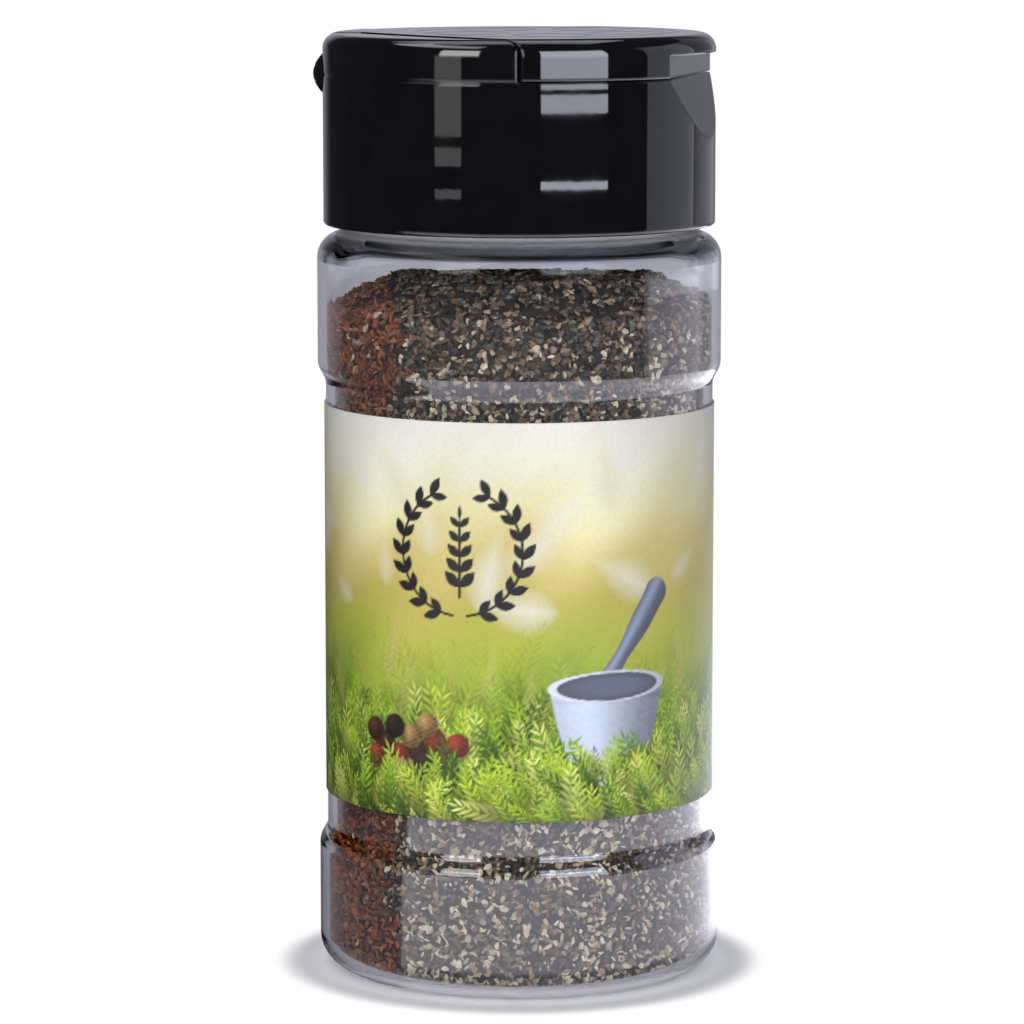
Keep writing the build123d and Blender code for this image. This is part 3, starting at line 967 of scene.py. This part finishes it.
def hinge_strap():
    """The living hinge: a thin strap with two moulded grooves, bowed out while the flap is shut.

    Known fault: the bow passes the hinge's axis, so the strap crosses itself when the flap is open.
    """
    steps = 40
    columns = 25
    inside = CAP_RADIUS + HINGE_GAP
    half_angle = HINGE_HALF_WIDTH / CAP_RADIUS
    t = np.linspace(-1, 1, steps + 1)
    bow = (HINGE_BULGE - HINGE_GAP) * (1 - t * t)
    thinner = bow - HINGE_THICKNESS * (1 - t * t)
    groove = GROOVE_DEPTH * np.exp(-(((np.abs(t) - GROOVE_PLACE) / GROOVE_WIDTH) ** 2))
    outer = np.stack([inside + bow - groove, PARTING + HINGE_LEG * t], axis=-1)
    inner = np.stack([inside + thinner, PARTING + (HINGE_LEG - HINGE_TAPER) * t], axis=-1)
    outline = np.concatenate([outer, inner[::-1]])
    rows = []
    for j in range(columns):
        share = -1 + 2 * j / (columns - 1)
        angle = HINGE_ANGLE + half_angle * share
        edge = 1 - 0.06 * share**8
        radius = inside + (outline[:, 0] - inside) * edge
        rows.append(around(radius, angle, outline[:, 1]))
    count = len(outline)
    faces = grid_faces(columns, count)
    faces.append(tuple(range(count)))
    faces.append(tuple(range((columns - 1) * count, columns * count))[::-1])
    strap = mesh_object("hinge_strap", np.concatenate(rows), faces)
    strap.data.set_sharp_from_angle(angle=math.radians(50))
    return strap


# Stage: floor, world, lights and camera


# Where the black card painted dark on the table begins, and the direction of its edge from there, in radians
PAINTED_CARD_START = (-13.7 * MM, -19.2 * MM)
PAINTED_CARD_EDGE = (-1.26, -1.2)
# Directions on the table, in radians from the camera's side to the right, where a part begins or ends
RIGHT_BEGINS = (1.32, 1.36)
RIGHT_ENDS = (2.3, 2.1)
BACK_BEGINS = (2.0, 2.3)
BACK_ENDS = (-2.5, -2.85)
# Distances from the object's middle, in metres, where a part begins or ends
WHITE_BEGINS = (0.0235, 0.030)
PAINTED_SHADOW_ENDS = (0.026, 0.042)
CLOSE_ENDS = (0.12, 0.05)
PAINTED_POOL_ENDS = (0.34, 0.3)
RIGHT_NEAR = (0.3, 0.34)
RIGHT_FAR = (1.12, 1.05)
# Brightness of the light and shade painted on the table as gloss sees it, and of its near part as it is seen
# through the jar
TABLE_DARK = 0.04
TABLE_PAINTED_POOL = 3.3
TABLE_PAINTED_RIGHT = 1.2
TABLE_GRAZED = 0.3
PAINTED_CONTACT_SHADOW = 0.12
SEEN_TABLE_MOST = 1.2
SEEN_CLOSE = 0.36
# Brightness of the room as gloss sees it, dark and behind the object, and as it lights the rest
ROOM_DARK = 0.04
ROOM_BEHIND = 0.42
AMBIENT = 0.5


def floor_material():
    """Pale table that keeps the object's shadow close by and turns plain white further off.

    Gloss and the clear jar see light and shade painted on the table instead: a pool of light in front
    and on the right, dark on the left where a black card is painted, grey behind, and a contact shadow.
    """
    pale = (0.86, 0.86, 0.86, 1)
    material, tree, shader = new_material("studio_floor", Base_Color=pale, Roughness=0.9)
    x, y, _ = coordinates(tree)
    far = calculated("SQRT", times(x, x, times(y, y)))
    turn = calculated("ARCTAN2", x, times(y, -1.0))
    path = tree.nodes.new("ShaderNodeLightPath")
    white = times(path.outputs["Is Camera Ray"], stepped(far, *WHITE_BEGINS))
    edge_x = calculated("SUBTRACT", x, PAINTED_CARD_START[0])
    edge_y = calculated("SUBTRACT", PAINTED_CARD_START[1], y)
    card = calculated("ARCTAN2", edge_x, edge_y)
    # Painted pool of light: the table glows brightly in front, up to the edge of the painted black card
    lit = times(stepped(card, *PAINTED_CARD_EDGE), stepped(far, *PAINTED_POOL_ENDS))
    # Painted light on the right of the table
    right = times(stepped(turn, *RIGHT_BEGINS), stepped(turn, *RIGHT_ENDS))
    right = times(right, stepped(far, *RIGHT_NEAR))
    right = times(right, stepped(far, *RIGHT_FAR))
    back = stepped(calculated("ABSOLUTE", turn), *BACK_BEGINS)
    grazed = calculated("MAXIMUM", stepped(turn, *BACK_BEGINS), stepped(turn, *BACK_ENDS))
    table = times(lit, TABLE_PAINTED_POOL, TABLE_DARK)
    table = times(right, TABLE_PAINTED_RIGHT, table)
    table = times(grazed, TABLE_GRAZED, table)
    # Painted contact shadow: the table's glow darkens close to the object
    off = stepped(far, *PAINTED_SHADOW_ENDS)
    painted_contact_shadow = times(off, 1 - PAINTED_CONTACT_SHADOW, PAINTED_CONTACT_SHADOW)
    table = times(table, painted_contact_shadow)
    through = path.outputs["Is Transmission Ray"]
    mirrored = calculated("MAXIMUM", path.outputs["Is Glossy Ray"], through)
    seen = calculated("MAXIMUM", times(back, SEEN_THROUGH), SEEN_DARK)
    seen = calculated("MAXIMUM", seen, calculated("MINIMUM", table, SEEN_TABLE_MOST))
    close = stepped(far, *CLOSE_ENDS)
    seen = times(calculated("SUBTRACT", SEEN_CLOSE, seen), close, seen)
    table = times(calculated("SUBTRACT", seen, table), through, table)
    glow = tree.nodes.new("ShaderNodeEmission")
    tint = ramp(path.outputs["Is Camera Ray"], [(0.0, STUDIO_TINT), (1.0, (1, 1, 1))])
    tree.links.new(tint, glow.inputs["Color"])
    tree.links.new(times(table, mirrored, white), glow.inputs["Strength"])
    glowing = calculated("MAXIMUM", white, mirrored)
    mixed_surface(tree, glowing, shader.outputs["BSDF"], glow.outputs["Emission"])
    return material


def add_floor():
    """A square far wider than the picture."""
    size = 12000
    points = [(-size, -size, 0), (size, -size, 0), (size, size, 0), (-size, size, 0)]
    floor = mesh_object("floor", points, [(0, 1, 2, 3)], smooth=False)
    floor.data.materials.append(floor_material())


def add_world():
    """White to the eye. Gloss and the clear jar see a dark studio, greyer behind the object."""
    world = bpy.data.worlds.new("studio")
    bpy.context.scene.world = world
    world.use_nodes = True
    tree = world.node_tree
    path = tree.nodes.new("ShaderNodeLightPath")
    _, y, z = coordinates(tree, "Generated")
    low = stepped(z, 0.5, 0.2)
    behind = times(stepped(y, 0.85, 0.97), low)
    room = times(behind, ROOM_BEHIND, ROOM_DARK)
    seen = times(stepped(y, 0.7, 0.9), SEEN_THROUGH - SEEN_DARK, SEEN_DARK)
    strength = AMBIENT
    for ray, value in (("Is Glossy Ray", room), ("Is Transmission Ray", seen)):
        more = calculated("SUBTRACT", value, AMBIENT)
        strength = times(path.outputs[ray], more, strength)
    strength = times(path.outputs["Is Camera Ray"], 1.0 - AMBIENT, strength)
    ground = tree.nodes["Background"]
    tree.links.new(strength, ground.inputs["Strength"])
    tint = ramp(path.outputs["Is Camera Ray"], [(0.0, STUDIO_TINT), (1.0, (1, 1, 1))])
    tree.links.new(tint, ground.inputs["Color"])


LAVENDER = (0.82, 0.86, 1.0)
PALE = (1.0, 0.99, 0.98)
SOFTBOX_DISTANCE = 0.9
# Curved softboxes, which the cap mirrors as strips: name, degrees from the camera's side to the
# right, width, bottom and top in metres, radiance, colour and panels
ARCS = (
    ("key", 32, 0.61, 0.0631, 0.09, 7.4, LAVENDER, 5),
    ("key_low", 32, 0.61, 0.0558, 0.0616, 7.4, LAVENDER, 5),
    ("key_bar", 32, 0.61, 0.0325, 0.035, 9.0, LAVENDER, 5),
    ("key_high", 32, 0.61, 0.09, 0.62, 10.0, LAVENDER, 5),
    ("left", -41.5, 0.25, 0.0487, 0.09, 1.4, PALE, 2),
    ("left_window", -41.5, 0.25, 0.0396, 0.0453, 1.4, PALE, 2),
    ("left_bar", -41.5, 0.25, 0.0296, 0.0325, 1.4, PALE, 2),
    ("left_high", -35, 0.37, 0.09, 0.62, 9.0, PALE, 3),
    ("left_top", -72, 1.2, 1.1, 1.9, 4.5, PALE, 5),
    ("right_card", 100, 0.65, 0.0, 0.7, 1.0, LAVENDER, 5),
    ("right_back", 139, 0.6, 0.0, 0.7, 0.28, LAVENDER, 5),
)
# Flat softboxes that light the rest and aren't mirrored: name, degrees and radiance
SOFTBOXES = (("soft_right", 38, 1.5), ("soft_left", -45, 1.25))


def add_panel(name, turn, distance, width, bottom, top, radiance, colour):
    """An upright softbox that faces the object. Its turn is from the camera's side to the right."""
    data = bpy.data.lights.new(name, "AREA")
    data.shape = "RECTANGLE"
    data.size = width
    data.size_y = top - bottom
    data.energy = radiance * math.pi * width * (top - bottom)
    data.color = colour
    light = link(bpy.data.objects.new(name, data))
    place = Vector((distance * math.sin(turn), -distance * math.cos(turn), 0))
    light.location = place + Vector((0, 0, (top + bottom) / 2))
    light.rotation_euler = (-place).to_track_quat("-Z", "Y").to_euler()
    return light


def add_arc(name, turn, width, bottom, top, radiance, colour, panels):
    """A curved softbox round the object, made of narrow upright panels, mirrored but not cast."""
    reach = 2 * math.asin(width / 2 / SOFTBOX_DISTANCE)
    share = 2 * SOFTBOX_DISTANCE * math.tan(reach / panels / 2)
    for k in range(panels):
        here = turn + reach * ((k + 0.5) / panels - 0.5)
        light = add_panel(f"{name}_{k}", here, SOFTBOX_DISTANCE, share, bottom, top, radiance, colour)
        light.visible_diffuse = False


def add_lights():
    """The strips that the cap mirrors are lights of their own, so the rest stays softly lit."""
    for name, degrees, *rest in ARCS:
        add_arc(name, math.radians(degrees), *rest)
    for name, degrees, radiance in SOFTBOXES:
        light = add_panel(name, math.radians(degrees), SOFTBOX_DISTANCE, 0.8, 0.0, 0.9, radiance, PALE)
        light.visible_glossy = False
        light.visible_transmission = False
    above = add_panel("above", math.radians(-170), 0.34, 0.9, 0.75, 1.45, 2.4, LAVENDER)
    aim = Vector((0, 0, 0.06)) - above.location
    above.rotation_euler = aim.to_track_quat("-Z", "Y").to_euler()


def add_camera():
    data = bpy.data.cameras.new("camera")
    data.sensor_width = 36  # millimetres, as is the lens
    focal_pixels = PIXELS_PER_MM * CAMERA_DISTANCE / MM
    data.lens = data.sensor_width * focal_pixels / PICTURE_SIZE
    camera = link(bpy.data.objects.new("camera", data))
    direction = Vector((0, math.cos(CAMERA_PITCH), -math.sin(CAMERA_PITCH)))
    camera.location = LOOK_AT - direction * CAMERA_DISTANCE
    camera.rotation_euler = direction.to_track_quat("-Z", "Y").to_euler()
    bpy.context.scene.camera = camera


def dress(obj, material):
    obj.data.materials.clear()
    obj.data.materials.append(material)


def build():
    black = cap_material()
    for name in ("cap_body", "flap"):
        dress(frame["nodes"][name], black)
    dress(frame["nodes"]["seal_liner"], foam_material())

    shell = jar_shell()
    dress(shell, clear_material())
    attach(shell, "jar")
    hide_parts("jar")

    label = printed_label()
    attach(label, "jar")
    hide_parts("label")

    bed = seasoning_bed()
    dress(bed, flake_material("seasoning_dust", srgb(22, 16, 12), srgb(58, 44, 34), 0.8))
    for piece in (bed, *seasoning_flakes()):
        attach(piece, "jar")
        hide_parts("seasoning")

    strap = hinge_strap()
    dress(strap, cap_material("black_strap_plastic", 0.12, 0.5))
    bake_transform(strap)
    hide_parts("living_hinge")

    add_floor()
    add_world()
    add_lights()
    add_camera()
    bpy.context.scene.view_settings.view_transform = "Standard"


build()
